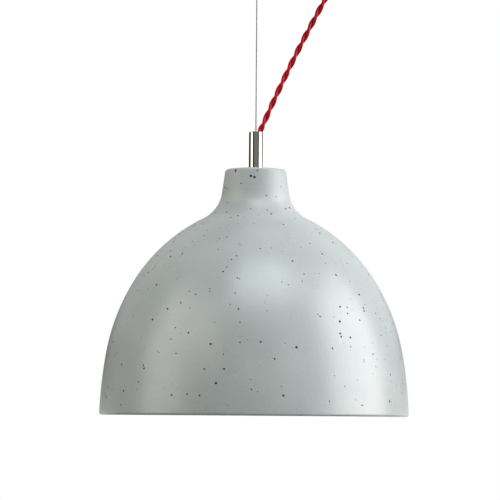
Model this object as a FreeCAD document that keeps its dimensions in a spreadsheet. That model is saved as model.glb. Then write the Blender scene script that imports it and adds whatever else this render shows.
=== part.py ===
import FreeCAD, Part
import math
import operator
import os
import Sketcher

# Pendant ceiling light: a cast concrete dome on a short steel tube, hung on a steel wire from an eye
# under a ceiling canopy, with a twisted two-core flex beside the wire.
# Millimetres, +Z up. The origin is on the ceiling, at the centre of the canopy. X runs towards the
# flex gland. Heights are drops below the ceiling unless a name says otherwise.

DIMENSIONS = {
    # shade, in its own frame: height above the rim, radius from the axis
    "rim_drop": 421.0,
    "shade_wall": 8.0,
    "rim_radius": 122.8,
    "side_radius": 117.8,
    "side_height": 48.9,
    "side_curve": 354.5,
    "shoulder_radius": 95.5,
    "shoulder_height": 107.6,
    "shoulder_curve": 163.5,
    "crown_radius": 41.8,
    "crown_height": 156.5,
    "crown_curve": 133.5,
    "neck_foot_radius": 26.7,
    "neck_foot_height": 177.6,
    "neck_foot_curve": 27.7,
    "neck_top_radius": 24.2,
    "shade_height": 196.0,
    "rim_round": 1.8,
    "neck_round": 2.2,
    # steel tube through the neck
    "tube_rise": 30.4,
    "tube_radius": 5.5,
    "tube_thread_radius": 5.0,
    "tube_bore": 4.2,
    "tube_thread_length": 39.0,
    "tube_edge": 0.4,
    "thread_gap": 0.05,
    "neck_hole_radius": 5.2,
    "rubber_radius": 13.0,
    "rubber_thickness": 2.0,
    "washer_radius": 14.0,
    "washer_thickness": 1.5,
    "tube_nut_across": 17.0,
    "tube_nut_height": 5.0,
    # ceiling bracket and canopy
    "bracket_length": 140.0,
    "bracket_width": 25.0,
    "bracket_thickness": 2.5,
    "slot_spacing": 100.0,
    "slot_length": 20.0,
    "slot_width": 5.2,
    "canopy_radius": 80.0,
    "canopy_depth": 28.0,
    "canopy_wall": 1.2,
    "canopy_corner": 5.0,
    "weld_nut_across": 10.0,
    "weld_nut_height": 5.0,
    "ring_nut_radius": 8.0,
    "ring_nut_height": 4.0,
    # eye, link and wire terminal
    "swing_drop": 52.0,
    "link_pitch": 13.0,
    "eye_radius": 8.0,
    "eye_bar": 2.0,
    "shank_radius": 3.0,
    "pivot_gap": 0.05,
    "link_arc": 5.0,
    "link_bar": 1.5,
    "ring_radius": 4.0,
    "ring_bar": 1.25,
    "sleeve_radius": 2.1,
    "sleeve_reach": 22.0,
    "sleeve_taper": 3.0,
    "wire_radius": 0.5,
    "wire_top_reach": 10.0,
    # wire anchor under the tube
    "anchor_radius": 7.0,
    "anchor_thickness": 2.5,
    "stop_radius": 1.5,
    "stop_length": 8.0,
    "stop_gap": 0.1,
    "wire_tail": 1.0,
    # flex
    "core_radius": 1.15,
    "flex_radius": 2.3,
    "core_offset": 2.8,
    # gland in the canopy
    "gland_place": 65.0,
    "gland_thread_radius": 5.9,
    "gland_bore": 2.9,
    "gland_inside": 9.0,
    "gland_hex_across": 17.0,
    "gland_flange": 4.0,
    "gland_spigot": 5.0,
    "gland_cap_radius": 7.8,
    "gland_mouth_radius": 4.4,
    "gland_nut_height": 4.0,
    "seal_length": 8.0,
    # terminal block
    "block_length": 16.0,
    "block_width": 20.0,
    "block_height": 12.0,
    "block_place": 23.0,
    "pole_offset": 5.0,
    "entry_radius": 1.6,
    "screw_radius": 1.5,
    "screw_head_radius": 2.2,
    # lampholder
    "holder_drop": 255.0,
    "holder_radius": 20.0,
    "holder_boss": 9.0,
    "holder_boss_height": 4.0,
    "holder_cap_length": 36.0,
    "holder_wall": 2.2,
    "skirt_length": 33.0,
    "skirt_collar": 5.0,
    "base_radius": 15.2,
    "base_height": 12.0,
    "base_drop": 286.0,
    "terminal_offset": 9.0,
    "terminal_width": 5.0,
    "terminal_height": 6.0,
    "shell_bore": 13.45,
    "shell_wall": 0.4,
    "shell_length": 22.0,
    "contact_height": 4.0,
    # bulb, in its own frame: depths below the contact's tip
    "bulb_length": 105.0,
    "globe_radius": 30.0,
    "glass_wall": 0.9,
    "bulb_neck_radius": 13.8,
    "bulb_neck_depth": 31.0,
    "bulb_neck_curve": 37.9,
    "globe_join_radius": 22.8,
    "globe_join_depth": 55.56,
    "bulb_cap_radius": 13.2,
    "bulb_cap_length": 26.0,
    "bulb_cap_wall": 0.3,
    "cap_top_depth": 4.0,
    "tip_radius": 4.5,
    "tip_depth": 1.5,
    "glass_top_depth": 17.0,
    "thread_pitch": 3.6,
    "thread_depth": 0.45,
    "stem_depth": 50.0,
    "filament_depth": 62.0,
    "filament_radius": 9.0,
}

# Middle line of the flex, as (X, drop below the tube's top edge); a negative drop is above it.
FLEX_ROUTE = [
    (3.9, -1.5),
    (13.9, -25.0),
    (25.9, -51.0),
    (39.2, -78.0),
    (52.9, -104.0),
    (65.0, -126.5),
    (65.0, -142.3),
]

# Middle line of one tail inside the canopy, as (X, Y, Z); the other is its mirror image in Y.
TAIL_ROUTE = [
    (65.0, 1.2, -51.0),
    (65.0, 1.3, -17.5),
    (61.0, 2.4, -9.2),
    (45.0, 4.6, -8.6),
    (24.0, 5.0, -9.0),
]

# Middle line of one core inside the tube and the lampholder, as (X, Y, Z); the other is its mirror.
CORE_ROUTE = [
    (0.0, 2.8, -208.0),
    (0.0, 2.8, -271.3),
    (0.0, 8.8, -278.0),
    (0.0, 9.0, -281.6),
]

ARC_SHARE = 0.45

document = FreeCAD.newDocument("pendant_light")
sheet = document.addObject("Spreadsheet::Sheet", "dims")
subparts = []


class Size:
    """A length in millimetres with the spreadsheet formula that gives it."""

    def __init__(self, value, formula):
        self.value = value
        self.formula = formula

    def __add__(self, other):
        return combined(self, "+", other)

    def __radd__(self, other):
        return combined(other, "+", self)

    def __sub__(self, other):
        return combined(self, "-", other)

    def __rsub__(self, other):
        return combined(other, "-", self)

    def __mul__(self, other):
        return combined(self, "*", other)

    def __truediv__(self, other):
        return combined(self, "/", other)

    def __neg__(self):
        return combined(0, "-", self)


OPERATIONS = {"+": operator.add, "-": operator.sub, "*": operator.mul, "/": operator.truediv}


def as_size(thing):
    if isinstance(thing, Size):
        return thing
    return Size(float(thing), repr(float(thing)))


def combined(left, sign, right):
    left, right = as_size(left), as_size(right)
    value = OPERATIONS[sign](left.value, right.value)
    return Size(value, f"({left.formula} {sign} {right.formula})")


class Dimensions:
    """The spreadsheet's cells as sizes, by alias."""

    def __getattr__(self, alias):
        return Size(DIMENSIONS[alias], f"dims.{alias}")


d = Dimensions()


def fill_sheet():
    for row, (alias, value) in enumerate(DIMENSIONS.items(), start=1):
        sheet.set(f"A{row}", alias.replace("_", " "))
        sheet.set(f"B{row}", str(value))
        sheet.setAlias(f"B{row}", alias)
    document.recompute()


# ---- helpers ---------------------------------------------------------------------------------


def bind(thing, **sizes):
    for name, value in sizes.items():
        thing.setExpression(name, as_size(value).formula)
    return thing


def place(thing, x=0, y=0, z=0):
    for name, value in (("x", x), ("y", y), ("z", z)):
        thing.setExpression(f"Placement.Base.{name}", as_size(value).formula)
    return thing


def turn(thing, axis, angle):
    thing.Placement = FreeCAD.Placement(FreeCAD.Vector(), FreeCAD.Rotation(FreeCAD.Vector(*axis), angle))
    return thing


def keep(thing, label):
    """Mark an object as a finished sub-part; its label names its file."""
    thing.Label = label
    subparts.append(thing)
    return thing


def solid(kind, name, **sizes):
    return bind(document.addObject(f"Part::{kind}", name), **sizes)


def cylinder(name, radius, height, x=0, y=0, z=0):
    return place(solid("Cylinder", name, Radius=radius, Height=height), x, y, z)


def box(name, length, width, height, x=0, y=0, z=0):
    """A box centred on x and y, standing on z."""
    block = solid("Box", name, Length=length, Width=width, Height=height)
    return place(block, x - as_size(length) / 2, y - as_size(width) / 2, z)


def fused(name, *pieces):
    joined = document.addObject("Part::MultiFuse", name)
    joined.Shapes = list(pieces)
    return joined


def cut(name, base, *tools):
    result = document.addObject("Part::Cut", name)
    result.Base = base
    result.Tool = tools[0] if len(tools) == 1 else fused(f"{name}_tools", *tools)
    return result


def hex_nut(name, across, height, bore, x=0, z=0):
    blank = solid("Prism", f"{name}_blank", Circumradius=as_size(across) / math.sqrt(3), Height=height)
    blank.Polygon = 6
    hole = cylinder(f"{name}_thread", bore, as_size(height) + 2, x, 0, z - 1)
    return cut(name, place(blank, x, 0, z), hole)


def origin_plane(body, role):
    return next(feature for feature in body.Origin.OriginFeatures if feature.Role == role)


def arc_between(start, end, radius):
    """An arc from start to end; a positive radius has its centre on the left of the way there."""
    chord = FreeCAD.Vector(end[0] - start[0], end[1] - start[1], 0)
    left = FreeCAD.Vector(-chord.y, chord.x, 0).normalize()
    middle = FreeCAD.Vector((start[0] + end[0]) / 2, (start[1] + end[1]) / 2, 0)
    height = math.sqrt(radius * radius - chord.Length ** 2 / 4)
    centre = middle + left * math.copysign(height, radius)
    angles = [math.atan2(y - centre.y, x - centre.x) for x, y in (start, end)]
    if radius < 0:
        angles.reverse()
    if angles[1] < angles[0]:
        angles[1] += 2 * math.pi
    circle = Part.Circle(centre, FreeCAD.Vector(0, 0, 1), abs(radius))
    return Part.ArcOfCircle(circle, angles[0], angles[1])


def outline_sketch(body, name, corners):
    """A closed outline in the body's XZ plane.

    A corner is (x, z), or (x, z, radius) where an arc leads on to the next corner.
    """
    sketch = body.newObject("Sketcher::SketchObject", name)
    sketch.AttachmentSupport = [(origin_plane(body, "XZ_Plane"), "")]
    sketch.MapMode = "FlatFace"
    corners = [(as_size(c[0]), as_size(c[1]), c[2] if len(c) > 2 else None) for c in corners]
    ends = []
    for index, (x, z, radius) in enumerate(corners):
        far_x, far_z, _ = corners[(index + 1) % len(corners)]
        start, end = (x.value, z.value), (far_x.value, far_z.value)
        if radius is None:
            edge = Part.LineSegment(FreeCAD.Vector(*start, 0), FreeCAD.Vector(*end, 0))
        else:
            edge = arc_between(start, end, radius.value)
        sketch.addGeometry(edge, False)
        backwards = radius is not None and radius.value < 0
        ends.append((2, 1) if backwards else (1, 2))
    for index, (x, z, radius) in enumerate(corners):
        following = (index + 1) % len(corners)
        sketch.addConstraint(Sketcher.Constraint(
            "Coincident", index, ends[index][1], following, ends[following][0]))
        for kind, size, axis in (("DistanceX", x, -2), ("DistanceY", z, -1)):
            if size.value == 0:
                sketch.addConstraint(Sketcher.Constraint("PointOnObject", index, ends[index][0], axis))
                continue
            number = sketch.addConstraint(Sketcher.Constraint(
                kind, -1, 1, index, ends[index][0], size.value))
            sketch.setExpression(f"Constraints[{number}]", size.formula)
        if radius is not None:
            number = sketch.addConstraint(Sketcher.Constraint("Radius", index, abs(radius.value)))
            sketch.setExpression(f"Constraints[{number}]", f"abs({radius.formula})")
    return sketch


def turned(name, corners, x=0, z=0):
    """A body turned about its own Z axis from a half outline."""
    body = document.addObject("PartDesign::Body", name)
    sketch = outline_sketch(body, f"{name}_outline", corners)
    turning = body.newObject("PartDesign::Revolution", f"{name}_turning")
    turning.Profile = sketch
    turning.ReferenceAxis = (sketch, ["V_Axis"])
    turning.Angle = 360
    place(body, x, 0, z)
    return body


def rounded_path(points):
    """Straight runs between points, joined by arcs as large as their runs allow; gives the radii too."""
    points = [FreeCAD.Vector(*point) for point in points]
    edges, radii = [], []
    here = points[0]
    for before, corner, after in zip(points, points[1:], points[2:]):
        arriving, leaving = (corner - before), (after - corner)
        half_turn = arriving.getAngle(leaving) / 2
        setback = ARC_SHARE * min(arriving.Length, leaving.Length)
        radius = setback / math.tan(half_turn)
        start = corner - arriving.normalize() * setback
        end = corner + leaving.normalize() * setback
        inward = (leaving - arriving).normalize()
        middle = corner + inward * (radius / math.cos(half_turn) - radius)
        edges.append(Part.LineSegment(here, start).toShape())
        edges.append(Part.Arc(start, middle, end).toShape())
        radii.append(radius)
        here = end
    edges.append(Part.LineSegment(here, points[-1]).toShape())
    return Part.Wire(edges), radii


def tube_along(points, radius):
    """A round solid along a rounded path."""
    path, radii = rounded_path(points)
    first = FreeCAD.Vector(*points[0])
    direction = FreeCAD.Vector(*points[1]) - first
    section = Part.Wire(Part.Circle(first, direction, radius).toShape())
    shape = path.makePipeShell([section], True, False)
    return shape, path.Length, radii


def cord(label, routes, radius):
    """One node with a plain tube along each route."""
    tubes = []
    for route in routes:
        shape, length, radii = tube_along(route, radius)
        expected = math.pi * radius * radius * length
        print(f"{label}: length {length:.1f}, volume / (section x length) {shape.Volume / expected:.4f},",
              "radii", [round(value, 1) for value in radii])
        tubes.append(shape)
    node = document.addObject("Part::Feature", label)
    node.Shape = tubes[0] if len(tubes) == 1 else Part.makeCompound(tubes)
    node.Placement = FreeCAD.Placement()
    return keep(node, label)


def mirrored_in_y(route):
    return [(x, -y, z) for x, y, z in route]


# ---- derived heights -------------------------------------------------------------------------

neck_top = d.shade_height - d.rim_drop
tube_top = neck_top + d.tube_rise
tube_bottom = neck_top - d.tube_thread_length
anchor_bottom = tube_bottom - d.anchor_thickness
washer_face = neck_top - d.shade_wall
first_axis = -d.swing_drop
second_axis = first_axis - d.link_pitch
base_bottom = -d.base_drop - d.base_height
contact_tip = base_bottom - d.contact_height
globe_depth = d.bulb_length - d.globe_radius


# ---- ceiling fitting -------------------------------------------------------------------------


def ceiling_bracket():
    plate = box("bracket_plate", d.bracket_length, d.bracket_width, d.bracket_thickness,
                z=-d.bracket_thickness)
    depth = d.bracket_thickness + 2
    bottom = -d.bracket_thickness - 1
    tools = [cylinder("bracket_centre_hole", d.shank_radius + 0.2, depth, z=bottom)]
    tools.append(cylinder("bracket_block_hole", d.screw_radius + 0.05, depth, x=d.block_place, z=bottom))
    straight = d.slot_length - d.slot_width
    for side in (-1, 1):
        middle = d.slot_spacing * (side / 2)
        tools.append(box(f"slot_middle{side}", straight, d.slot_width, depth, x=middle, z=bottom))
        for end in (-1, 1):
            tools.append(cylinder(f"slot_end{side}{end}", d.slot_width / 2, depth,
                                  x=middle + straight * (end / 2), z=bottom))
    keep(cut("bracket", plate, *tools), "ceiling_bracket")


def bracket_nut():
    bottom = -d.bracket_thickness - d.weld_nut_height
    keep(hex_nut("weld_nut", d.weld_nut_across, d.weld_nut_height, d.shank_radius + d.thread_gap,
                 z=bottom), "bracket_nut")


def canopy():
    inner = d.canopy_radius - d.canopy_wall
    floor = d.canopy_wall
    inner_corner = d.canopy_corner - d.canopy_wall
    hole = d.shank_radius + 0.3
    cup = turned("canopy_cup", [
        (hole, 0),
        (d.canopy_radius - d.canopy_corner, 0, d.canopy_corner),
        (d.canopy_radius, d.canopy_corner),
        (d.canopy_radius, d.canopy_depth),
        (inner, d.canopy_depth),
        (inner, d.canopy_corner, -inner_corner),
        (d.canopy_radius - d.canopy_corner, floor),
        (hole, floor),
    ], z=-d.canopy_depth)
    gland_hole = cylinder("canopy_gland_hole", d.gland_thread_radius + 0.1, 4, x=d.gland_place,
                          z=-d.canopy_depth - 1)
    keep(cut("canopy_drilled", cup, gland_hole), "canopy")


def canopy_ring_nut():
    """A round nut with a coin-edge rim that holds the canopy up on the eye bolt."""
    bore = d.shank_radius + d.thread_gap
    nut = turned("ring_nut_blank", [
        (bore, 0),
        (d.ring_nut_radius - 0.8, 0),
        (d.ring_nut_radius, 0.8),
        (d.ring_nut_radius, d.ring_nut_height),
        (bore, d.ring_nut_height),
    ], z=-d.canopy_depth - d.ring_nut_height)
    flutes = []
    for index in range(24):
        angle = math.radians(15 * index)
        flutes.append(cylinder(f"flute{index}", 0.35, d.ring_nut_height + 2,
                               x=(d.ring_nut_radius + 0.1) * math.cos(angle),
                               y=(d.ring_nut_radius + 0.1) * math.sin(angle),
                               z=-d.canopy_depth - d.ring_nut_height - 1))
    keep(cut("ring_nut_fluted", nut, *flutes), "canopy_ring_nut")


def upright_ring(name, radius, bar, z):
    """A ring in the XZ plane."""
    ring = solid("Torus", name, Radius1=radius, Radius2=bar)
    turn(ring, (1, 0, 0), 90)
    return place(ring, z=z)


def eye_bolt():
    centre = first_axis + d.eye_radius
    ring = upright_ring("eye_ring", d.eye_radius, d.eye_bar, centre)
    foot = centre + d.eye_radius
    shank = cylinder("eye_shank", d.shank_radius, -foot, z=foot)
    keep(fused("eye", ring, shank), "eye_bolt")


def gland():
    """Strain relief for the flex: threaded body, lock nut, rubber seal and clamping cap."""
    canopy_face = -d.canopy_depth
    flange_bottom = canopy_face - d.gland_flange
    mouth = first_axis
    body_top = d.gland_flange + d.gland_inside
    spigot = turned("gland_tube", [
        (d.gland_bore, -d.gland_spigot),
        (d.gland_thread_radius + 0.3, -d.gland_spigot),
        (d.gland_thread_radius + 0.3, 0),
        (d.gland_thread_radius, 0),
        (d.gland_thread_radius, body_top),
        (d.gland_bore, body_top),
    ], x=d.gland_place, z=flange_bottom)
    flange = hex_nut("gland_hex", d.gland_hex_across, d.gland_flange, d.gland_thread_radius - 0.5,
                     x=d.gland_place, z=flange_bottom)
    keep(fused("gland_whole", spigot, flange), "gland_body")
    keep(hex_nut("gland_nut", d.gland_hex_across, d.gland_nut_height, d.gland_thread_radius + d.thread_gap,
                 x=d.gland_place, z=canopy_face + d.canopy_wall), "gland_lock_nut")
    cap_length = flange_bottom - mouth
    seal_top = cap_length - d.gland_spigot
    seal_bottom = seal_top - d.seal_length
    inner = d.gland_thread_radius + 0.35
    keep(turned("gland_dome", [
        (d.gland_bore + 0.5, 0),
        (d.gland_mouth_radius, 0),
        (d.gland_cap_radius, cap_length * 0.55),
        (d.gland_cap_radius, cap_length),
        (inner, cap_length),
        (inner, seal_bottom + 1),
        (inner - 1.5, seal_bottom - 0.5),
        (d.gland_bore, seal_bottom - 0.5),
        (d.gland_bore, 1),
    ], x=d.gland_place, z=mouth), "gland_cap")
    keep(turned("gland_rubber", [
        (d.flex_radius + 0.1, 0),
        (inner - 1.8, 0),
        (inner - 0.3, 1.6),
        (inner - 0.3, d.seal_length),
        (d.flex_radius + 0.1, d.seal_length),
    ], x=d.gland_place, z=mouth + seal_bottom), "gland_seal")


def terminal_block():
    top = -d.bracket_thickness
    bottom = top - d.block_height
    entry_height = -9
    tools = [cylinder("block_fixing_hole", d.screw_radius + 0.05, d.block_height + 2,
                      x=d.block_place, z=bottom - 1)]
    for side in (-1, 1):
        entry = cylinder(f"block_entry{side}", d.entry_radius, d.block_length * 0.7)
        turn(entry, (0, 1, 0), 90)
        tools.append(place(entry, d.block_place - d.block_length * 0.2, d.pole_offset * side, entry_height))
        tools.append(cylinder(f"block_well{side}", d.screw_head_radius, 2,
                              x=d.block_place, y=d.pole_offset * side, z=bottom - 1))
        tools.append(cylinder(f"block_screw_hole{side}", d.screw_radius + 0.05,
                              entry_height - bottom, x=d.block_place, y=d.pole_offset * side, z=bottom))
    body = box("block_blank", d.block_length, d.block_width, d.block_height, x=d.block_place, z=bottom)
    keep(cut("block_drilled", body, *tools), "terminal_block")


def slotted_screw(name, x, y, head_bottom, head_radius, length):
    """A cheese-head screw standing head down, slotted along Y."""
    head = cylinder(f"{name}_head", head_radius, 1.2, x, y, head_bottom)
    shank = cylinder(f"{name}_shank", d.screw_radius, length, x, y, head_bottom + 1)
    slot = box(f"{name}_slot", 0.6, 6, 0.6, x, y, head_bottom)
    return cut(name, fused(f"{name}_blank", head, shank), slot)


def block_screws():
    bottom = -d.bracket_thickness - d.block_height
    poles = [slotted_screw(f"pole_screw{side}", d.block_place, d.pole_offset * side, bottom - 0.2,
                           d.screw_head_radius - 0.1, 3.0) for side in (-1, 1)]
    group = document.addObject("Part::Compound", "pole_screws")
    group.Links = poles
    keep(group, "terminal_screws")
    keep(slotted_screw("fixing_screw", d.block_place, 0, bottom - 1.25, d.screw_head_radius,
                       d.block_height + d.bracket_thickness), "terminal_block_screw")


# ---- suspension ------------------------------------------------------------------------------


def suspension_link():
    """An oval link in the YZ plane: two half rings and two straight sides."""
    top_arc = first_axis + d.eye_bar + d.pivot_gap + d.link_bar - d.link_arc
    bottom_arc = second_axis + d.link_arc
    pieces = []
    for name, height, start in (("link_top", top_arc, 0), ("link_bottom", bottom_arc, 180)):
        half = solid("Torus", name, Radius1=d.link_arc, Radius2=d.link_bar)
        half.Angle3 = 180
        upright = FreeCAD.Rotation(FreeCAD.Vector(0, 0, 1), 90).multiply(
            FreeCAD.Rotation(FreeCAD.Vector(1, 0, 0), 90 + start))
        half.Placement = FreeCAD.Placement(FreeCAD.Vector(), upright)
        pieces.append(place(half, z=height))
    for side in (-1, 1):
        pieces.append(cylinder(f"link_side{side}", d.link_bar, top_arc - bottom_arc,
                               y=d.link_arc * side, z=bottom_arc))
    keep(fused("link", *pieces), "suspension_link")


def wire_terminal():
    """A ring with a pressed sleeve that grips the wire's top end."""
    ring_centre = second_axis + d.link_bar + d.pivot_gap + d.ring_bar - d.ring_radius
    ring = upright_ring("terminal_ring", d.ring_radius, d.ring_bar, ring_centre)
    sleeve_bottom = second_axis - d.sleeve_reach
    taper = d.sleeve_taper
    sleeve_top = ring_centre - d.ring_radius
    length = sleeve_top - sleeve_bottom
    sleeve = turned("terminal_sleeve", [
        (0, 0),
        (d.sleeve_radius - 0.7, 0),
        (d.sleeve_radius, taper),
        (d.sleeve_radius, length - 2),
        (d.sleeve_radius - 0.6, length),
        (0, length),
    ], z=sleeve_bottom)
    hole = cylinder("terminal_bore", d.wire_radius + 0.02, d.sleeve_reach - d.wire_top_reach + 1.2,
                    z=sleeve_bottom - 1)
    keep(cut("terminal", fused("terminal_blank", ring, sleeve), hole), "wire_eye_terminal")


def suspension_wire():
    top = second_axis - d.wire_top_reach
    bottom = anchor_bottom - d.stop_gap - d.stop_length - d.wire_tail
    keep(cylinder("wire", d.wire_radius, top - bottom, z=bottom), "suspension_wire")


def wire_stop():
    """The crimped sleeve on the wire's lower end, under the anchor disc."""
    top = anchor_bottom - d.stop_gap
    bore = d.wire_radius + 0.02
    keep(turned("stop", [
        (bore, 0),
        (d.stop_radius - 0.3, 0),
        (d.stop_radius, 0.3),
        (d.stop_radius, d.stop_length),
        (bore, d.stop_length),
    ], z=top - d.stop_length), "wire_stop")


def pendant_flex():
    top = tube_top.value
    cord("pendant_flex", [[(x, 0, top - drop) for x, drop in FLEX_ROUTE]], d.flex_radius.value)


# ---- lamp ------------------------------------------------------------------------------------


def shade():
    """The concrete casting: the outer dome turned solid, then hollowed to an even wall."""
    body = turned("shade_casting", [
        (0, 0),
        (d.rim_radius, 0, d.side_curve),
        (d.side_radius, d.side_height, d.shoulder_curve),
        (d.shoulder_radius, d.shoulder_height, d.crown_curve),
        (d.crown_radius, d.crown_height, -d.neck_foot_curve),
        (d.neck_foot_radius, d.neck_foot_height),
        (d.neck_top_radius, d.shade_height),
        (0, d.shade_height),
    ], z=-d.rim_drop)
    document.recompute()
    casting = body.Tip
    underside = next(f"Face{i}" for i, face in enumerate(casting.Shape.Faces, start=1)
                     if face.BoundBox.ZMax < 0.001)
    hollow = body.newObject("PartDesign::Thickness", "shade_hollow")
    hollow.Base = (casting, [underside])
    hollow.Join = "Intersection"
    hollow.Reversed = True
    bind(hollow, Value=d.shade_wall)
    document.recompute()
    print(f"shade: solid {casting.Shape.Volume / 1000:.0f} cm3, hollow {hollow.Shape.Volume / 1000:.0f} cm3")
    drill = outline_sketch(body, "neck_hole_outline", [
        (0, d.shade_height - d.shade_wall - 2),
        (d.neck_hole_radius, d.shade_height - d.shade_wall - 2),
        (d.neck_hole_radius, d.shade_height + 1),
        (0, d.shade_height + 1),
    ])
    hole = body.newObject("PartDesign::Groove", "neck_hole")
    hole.Profile = drill
    hole.ReferenceAxis = (drill, ["V_Axis"])
    hole.Angle = 360
    document.recompute()
    round_edge(body, "neck_rounding", d.neck_top_radius, d.shade_height, d.neck_round)
    round_edge(body, "rim_rounding", d.rim_radius, 0, d.rim_round)
    round_edge(body, "rim_inner_rounding", d.rim_radius - d.shade_wall, 0, d.rim_round / 2)
    keep(body, "shade")


def round_edge(body, name, radius, height, size):
    """Round the circular edge of the body that lies at a radius and height."""
    radius, height = as_size(radius).value, as_size(height).value
    before = body.Tip
    found = [f"Edge{i}" for i, edge in enumerate(before.Shape.Edges, start=1)
             if abs(edge.BoundBox.XMax - radius) < 0.5
             and abs(edge.BoundBox.ZMin - height) < 0.01 and abs(edge.BoundBox.ZMax - height) < 0.01]
    rounding = body.newObject("PartDesign::Fillet", name)
    rounding.Base = (before, found)
    bind(rounding, Radius=size)
    document.recompute()


def steel_tube():
    """A polished tube; below the shade's top face it steps down to the thread."""
    length = d.tube_rise + d.tube_thread_length
    shoulder = d.tube_thread_length
    edge = d.tube_edge
    keep(turned("tube", [
        (d.tube_bore, 0),
        (d.tube_thread_radius - edge, 0),
        (d.tube_thread_radius, edge),
        (d.tube_thread_radius, shoulder),
        (d.tube_radius, shoulder),
        (d.tube_radius, length - edge),
        (d.tube_radius - edge, length),
        (d.tube_bore + edge / 2, length),
        (d.tube_bore, length - edge / 2),
    ], z=tube_bottom), "steel_tube")


def flat_ring(name, outer, inner, thickness, z):
    return turned(name, [(inner, 0), (outer, 0), (outer, thickness), (inner, thickness)], z=z)


def shade_clamp():
    """Rubber washer, steel washer and nut that clamp the shade against the tube's shoulder."""
    bore = d.tube_thread_radius + d.thread_gap
    rubber_bottom = washer_face - d.rubber_thickness
    washer_bottom = rubber_bottom - d.washer_thickness
    keep(flat_ring("rubber", d.rubber_radius, bore, d.rubber_thickness, rubber_bottom), "rubber_washer")
    keep(flat_ring("washer", d.washer_radius, bore, d.washer_thickness, washer_bottom), "steel_washer")
    keep(hex_nut("tube_nut", d.tube_nut_across, d.tube_nut_height, bore,
                 z=washer_bottom - d.tube_nut_height), "shade_nut")


def wire_anchor_disc():
    disc = flat_ring("anchor", d.anchor_radius, d.wire_radius + 0.1, d.anchor_thickness, anchor_bottom)
    holes = [cylinder(f"anchor_core_hole{side}", d.core_radius + 0.1, d.anchor_thickness + 2,
                      y=d.core_offset * side, z=anchor_bottom - 1) for side in (-1, 1)]
    keep(cut("anchor_drilled", disc, *holes), "wire_anchor_disc")


def lampholder():
    length = d.holder_cap_length
    inner = d.holder_radius - d.holder_wall
    boss_foot = length - d.holder_boss_height
    thread_top = -d.holder_drop
    tube_end = thread_top - tube_bottom
    keep(turned("cap_moulding", [
        (inner, 0),
        (d.holder_radius, 0),
        (d.holder_radius, boss_foot - 6, as_size(9)),
        (d.holder_boss + 2, boss_foot),
        (d.holder_boss, boss_foot),
        (d.holder_boss, length),
        (d.tube_thread_radius + d.thread_gap, length),
        (d.tube_thread_radius + d.thread_gap, length - tube_end),
        (d.anchor_radius + 0.5, length - tube_end),
        (d.anchor_radius + 0.5, length - tube_end - 3),
        (inner, length - tube_end - 6),
    ], z=thread_top - length), "holder_cap")
    skirt_top = thread_top - length
    collar = inner - 0.1
    keep(turned("skirt_moulding", [
        (inner - 1.2, 0),
        (d.holder_radius - 0.5, 0),
        (d.holder_radius, 0.8),
        (d.holder_radius, d.skirt_length),
        (collar, d.skirt_length),
        (collar, d.skirt_length + d.skirt_collar),
        (inner - 1.6, d.skirt_length + d.skirt_collar),
        (inner - 1.6, d.skirt_length - 6),
        (inner - 1.2, d.skirt_length - 8),
    ], z=skirt_top - d.skirt_length), "holder_skirt")


def holder_inside():
    """The lampholder's ceramic base with its terminals, contact and screw shell."""
    keep(turned("base_ceramic", [
        (0, 0),
        (d.shell_bore - 3, 0),
        (d.shell_bore - 3, 2),
        (d.base_radius, 2),
        (d.base_radius, d.base_height - 1),
        (d.base_radius - 1, d.base_height),
        (0, d.base_height),
    ], z=base_bottom), "holder_base")
    blocks, screws = [], []
    for side in (-1, 1):
        y = d.terminal_offset * side
        block = box(f"holder_pole{side}", d.terminal_width * 1.6, d.terminal_width, d.terminal_height,
                    y=y, z=-d.base_drop)
        entry = cylinder(f"holder_entry{side}", d.core_radius + 0.1, 3, y=y,
                         z=d.terminal_height - d.base_drop - 2)
        side_hole = turn(cylinder(f"holder_screw_hole{side}", 1.05, 3), (0, 1, 0), 90)
        place(side_hole, d.terminal_width * 0.8 - 2.5, y, 2 - d.base_drop)
        blocks.append(cut(f"holder_block{side}", block, entry, side_hole))
        shank = turn(cylinder(f"holder_screw_shank{side}", 1.0, 2.6), (0, 1, 0), 90)
        place(shank, d.terminal_width * 0.8 - 2.4, y, 2 - d.base_drop)
        head = turn(cylinder(f"holder_screw_head{side}", 1.7, 1.0), (0, 1, 0), 90)
        place(head, d.terminal_width * 0.8 + 0.1, y, 2 - d.base_drop)
        screws.append(fused(f"holder_screw{side}", shank, head))
    for label, members in (("holder_terminals", blocks), ("holder_terminal_screws", screws)):
        group = document.addObject("Part::Compound", f"{label}_group")
        group.Links = members
        keep(group, label)
    outer = d.shell_bore + d.shell_wall
    keep(turned("shell", [
        (d.shell_bore, 0),
        (outer + 0.5, 0),
        (outer, 0.6),
        (outer, d.shell_length),
        (d.shell_bore - 2.9, d.shell_length),
        (d.shell_bore - 2.9, d.shell_length - d.shell_wall),
        (d.shell_bore, d.shell_length - d.shell_wall),
    ], z=base_bottom + 2 - d.shell_length), "screw_shell")
    keep(turned("contact", [
        (0, 0),
        (2.5, 0, as_size(4)),
        (4.5, 1.4),
        (3.4, d.contact_height),
        (0, d.contact_height),
    ], z=contact_tip), "centre_contact")


# ---- bulb ------------------------------------------------------------------------------------


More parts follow.
